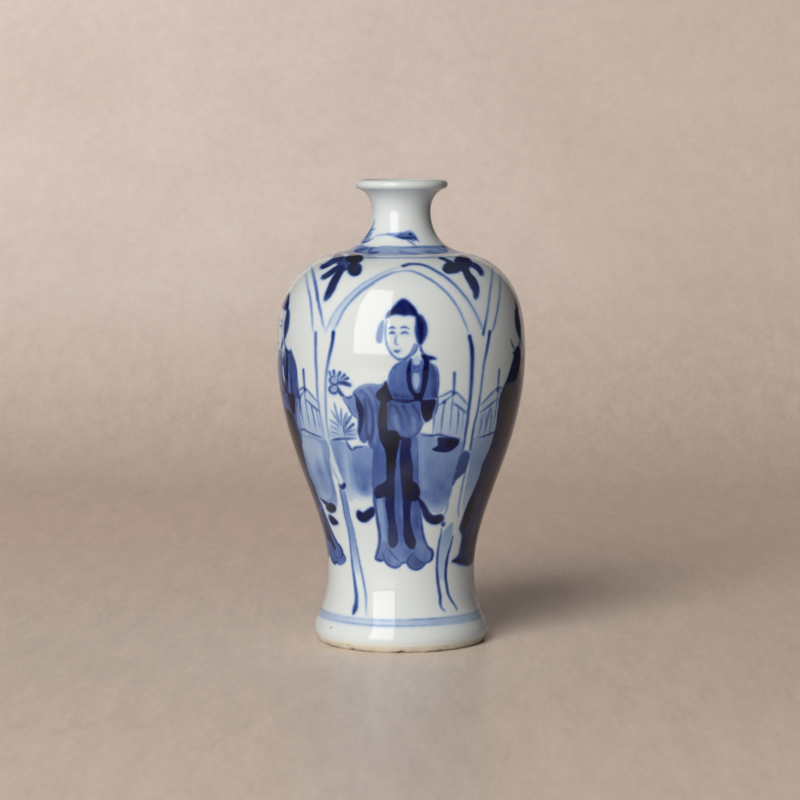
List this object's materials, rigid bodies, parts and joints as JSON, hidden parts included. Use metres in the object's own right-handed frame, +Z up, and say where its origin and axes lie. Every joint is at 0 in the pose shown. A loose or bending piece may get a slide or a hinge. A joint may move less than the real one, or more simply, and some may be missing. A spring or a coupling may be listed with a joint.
{
  "type": "vase",
  "caption": "Small baluster vase of blue and white porcelain with a flared foot ring, a high round shoulder and a short neck under a rolled lip.",
  "frame": {"origin": "centre of the foot, on the surface the vase stands on", "axes": "+Z up the vase's axis to the mouth, -Y towards the viewer who faces the front painted panel"},
  "size_m": [0.0646, 0.0646, 0.12],
  "materials": {
    "biscuit": "unglazed fired porcelain, matt, warm cream with fine kiln grit",
    "slip": "fired porcelain slip, matt",
    "painted_glaze": "glossy bluish-white glaze over brushed cobalt blue painting",
    "clear_glaze": "glossy bluish-white glaze, unpainted"
  },
  "bodies": {
    "root": {"lower_body": "biscuit", "upper_body": "biscuit", "neck_and_mouth": "biscuit", "body_seam_slip": "slip", "neck_seam_slip": "slip", "outside_glaze": "painted_glaze", "inside_glaze": "clear_glaze", "base_glaze": "clear_glaze"}
  },
  "joints": []
}
